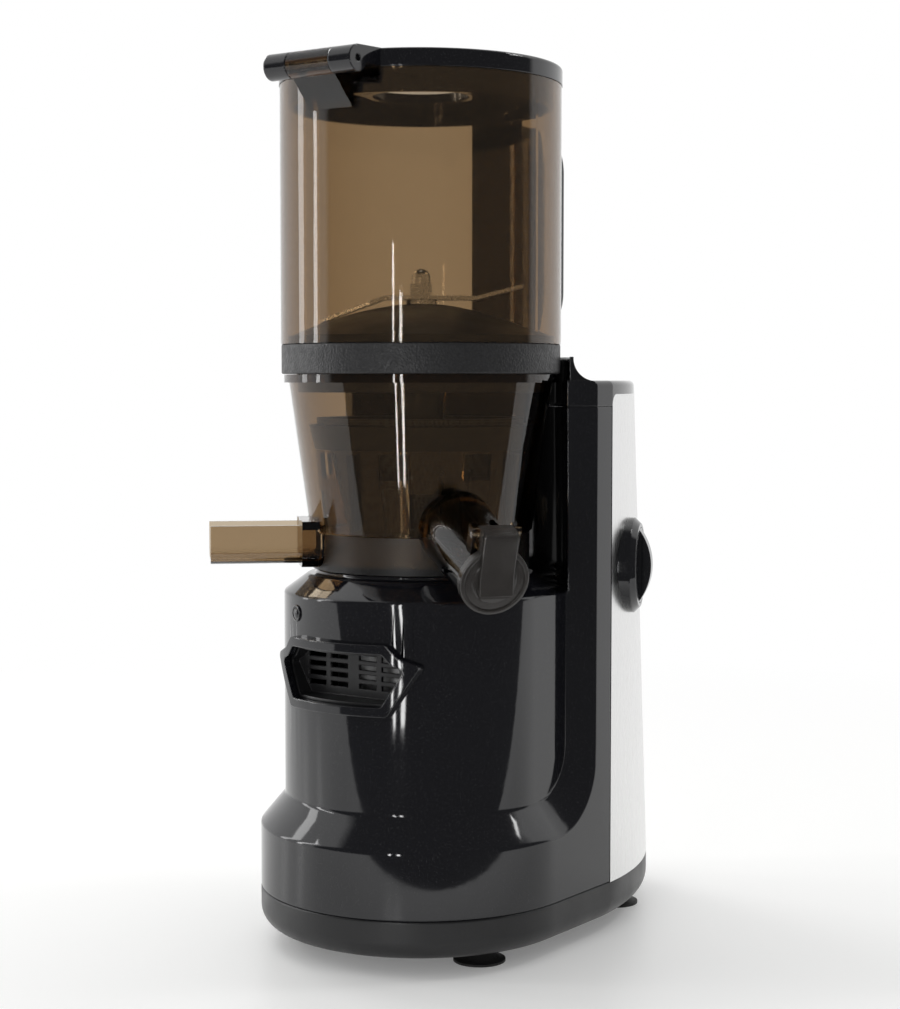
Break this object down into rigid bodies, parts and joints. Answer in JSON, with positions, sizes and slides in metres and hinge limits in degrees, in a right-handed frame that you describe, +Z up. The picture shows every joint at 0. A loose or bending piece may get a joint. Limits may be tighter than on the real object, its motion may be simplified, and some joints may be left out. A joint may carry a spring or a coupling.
{
  "type": "vertical slow juicer",
  "caption": "Upright slow juicer: motor base with rear tower, smoky clear bowl with pulp chute and capped juice spout, wide clear hopper with blade, handle and hinged lid.",
  "frame": {"origin": "on the floor under the middle of the footprint", "axes": "+Z up, front of the juicer at -Y, juice spout and selector on the +X side"},
  "size_m": [0.1938, 0.2582, 0.444],
  "materials": {
    "smoke_clear": "clear smoky brown",
    "gloss_black": "gloss black moulding",
    "satin_black": "satin black moulding",
    "grained_grey": "leather-grain moulding",
    "brushed_panel": "satin sheet",
    "steel": "ground steel",
    "strainer_mesh": "dark moulded basket",
    "auger_resin": "dark resin",
    "white_nylon": "moulded nylon",
    "motor_iron": "varnished laminations",
    "cast_case": "die-cast",
    "bush_brass": "turned",
    "rubber": "matt silicone"
  },
  "bodies": {
    "base": {"suction_feet": "rubber", "base_plate": "satin_black", "base_screws": "steel", "motor_housing": "gloss_black", "tower_cap": "gloss_black", "rear_panel": "brushed_panel", "vent_frame": "gloss_black", "vent_tub": "satin_black", "switch_bezel": "gloss_black", "switch_body": "satin_black", "cord_gland": "satin_black", "motor_can": "motor_iron", "motor_stator": "motor_iron", "motor_bearings": "steel", "gearbox_ring": "cast_case", "gearbox_cover": "cast_case", "output_bearing": "steel", "shaft_seal": "rubber"},
    "rotor": {"motor_rotor": "steel", "motor_fan": "white_nylon"},
    "carrier": {"planet_carrier": "steel"},
    "planet_1": {"planet_gear_1": "steel"},
    "planet_2": {"planet_gear_2": "steel"},
    "planet_3": {"planet_gear_3": "steel"},
    "knob": {"selector_knob": "gloss_black"},
    "bowl": {"juice_bowl": "smoke_clear", "spout_tube": "smoke_clear", "pulp_chute": "smoke_clear", "bowl_gasket": "rubber", "strainer": "strainer_mesh", "cap_pin": "steel"},
    "idler": {"brush_gear": "steel"},
    "brush": {"brush_cage": "smoke_clear", "brush_ring": "satin_black", "wiper_blades": "rubber"},
    "auger": {"auger": "auger_resin"},
    "cap": {"juice_cap": "smoke_clear", "cap_seal": "rubber"},
    "hopper": {"hopper_wall": "smoke_clear", "hopper_collar": "grained_grey", "hopper_floor": "satin_black", "floor_bush": "bush_brass", "hopper_handle": "gloss_black", "hinge_pin": "steel"},
    "blade": {"feed_blade": "steel", "blade_spindle": "steel", "blade_nut": "steel"},
    "lid": {"lid": "gloss_black"}
  },
  "joints": [
    {"name": "motor_spin", "type": "hinge", "parent": "base", "child": "rotor", "pos_m": [-0.006, -0.0387, 0.085], "axis": [0, 0, 1], "continuous": true},
    {"name": "carrier_spin", "type": "hinge", "parent": "base", "child": "carrier", "pos_m": [-0.006, -0.0387, 0.139], "axis": [0, 0, 1], "continuous": true},
    {"name": "planet_1_spin", "type": "hinge", "parent": "carrier", "child": "planet_1", "pos_m": [0.0165, -0.0387, 0.127], "axis": [0, 0, 1], "continuous": true},
    {"name": "planet_2_spin", "type": "hinge", "parent": "carrier", "child": "planet_2", "pos_m": [-0.01725, -0.01921, 0.127], "axis": [0, 0, 1], "continuous": true},
    {"name": "planet_3_spin", "type": "hinge", "parent": "carrier", "child": "planet_3", "pos_m": [-0.01725, -0.05819, 0.127], "axis": [0, 0, 1], "continuous": true},
    {"name": "knob_turn", "type": "hinge", "parent": "base", "child": "knob", "pos_m": [0.0665, 0.0433, 0.19], "axis": [0.9135, 0.4067, 0], "range_deg": [-45, 45]},
    {"name": "bowl_lift", "type": "slide", "parent": "base", "child": "bowl", "axis": [0, 0, 1], "range_m": [0, 0.12]},
    {"name": "auger_spin", "type": "hinge", "parent": "bowl", "child": "auger", "pos_m": [-0.006, -0.0387, 0.2072], "axis": [0, 0, 1], "continuous": true},
    {"name": "idler_spin", "type": "hinge", "parent": "bowl", "child": "idler", "pos_m": [-0.006, -0.0087, 0.1983], "axis": [0, 0, 1], "continuous": true},
    {"name": "brush_spin", "type": "hinge", "parent": "bowl", "child": "brush", "pos_m": [-0.006, -0.0387, 0.1983], "axis": [0, 0, 1], "continuous": true},
    {"name": "cap_hinge", "type": "hinge", "parent": "bowl", "child": "cap", "pos_m": [0.0835, -0.10137, 0.21626], "axis": [-0.5736, -0.8192, 0], "range_deg": [0, 95]},
    {"name": "hopper_lift", "type": "slide", "parent": "bowl", "child": "hopper", "axis": [0, 0, 1], "range_m": [0, 0.1]},
    {"name": "blade_spin", "type": "hinge", "parent": "hopper", "child": "blade", "pos_m": [-0.006, -0.0387, 0.3253], "axis": [0, 0, 1], "continuous": true},
    {"name": "lid_hinge", "type": "hinge", "parent": "hopper", "child": "lid", "pos_m": [-0.006, -0.1227, 0.437], "axis": [1, 0, 0], "range_deg": [0, 110]}
  ],
  "couplings": [
    {"joint": "carrier_spin", "follows": "motor_spin", "ratio": 0.2},
    {"joint": "planet_1_spin", "follows": "motor_spin", "ratio": -0.53333},
    {"joint": "planet_2_spin", "follows": "motor_spin", "ratio": -0.53333},
    {"joint": "planet_3_spin", "follows": "motor_spin", "ratio": -0.53333},
    {"joint": "auger_spin", "follows": "motor_spin", "ratio": 0.2},
    {"joint": "idler_spin", "follows": "motor_spin", "ratio": -0.16364},
    {"joint": "brush_spin", "follows": "motor_spin", "ratio": -0.058065},
    {"joint": "blade_spin", "follows": "motor_spin", "ratio": 0.2}
  ]
}
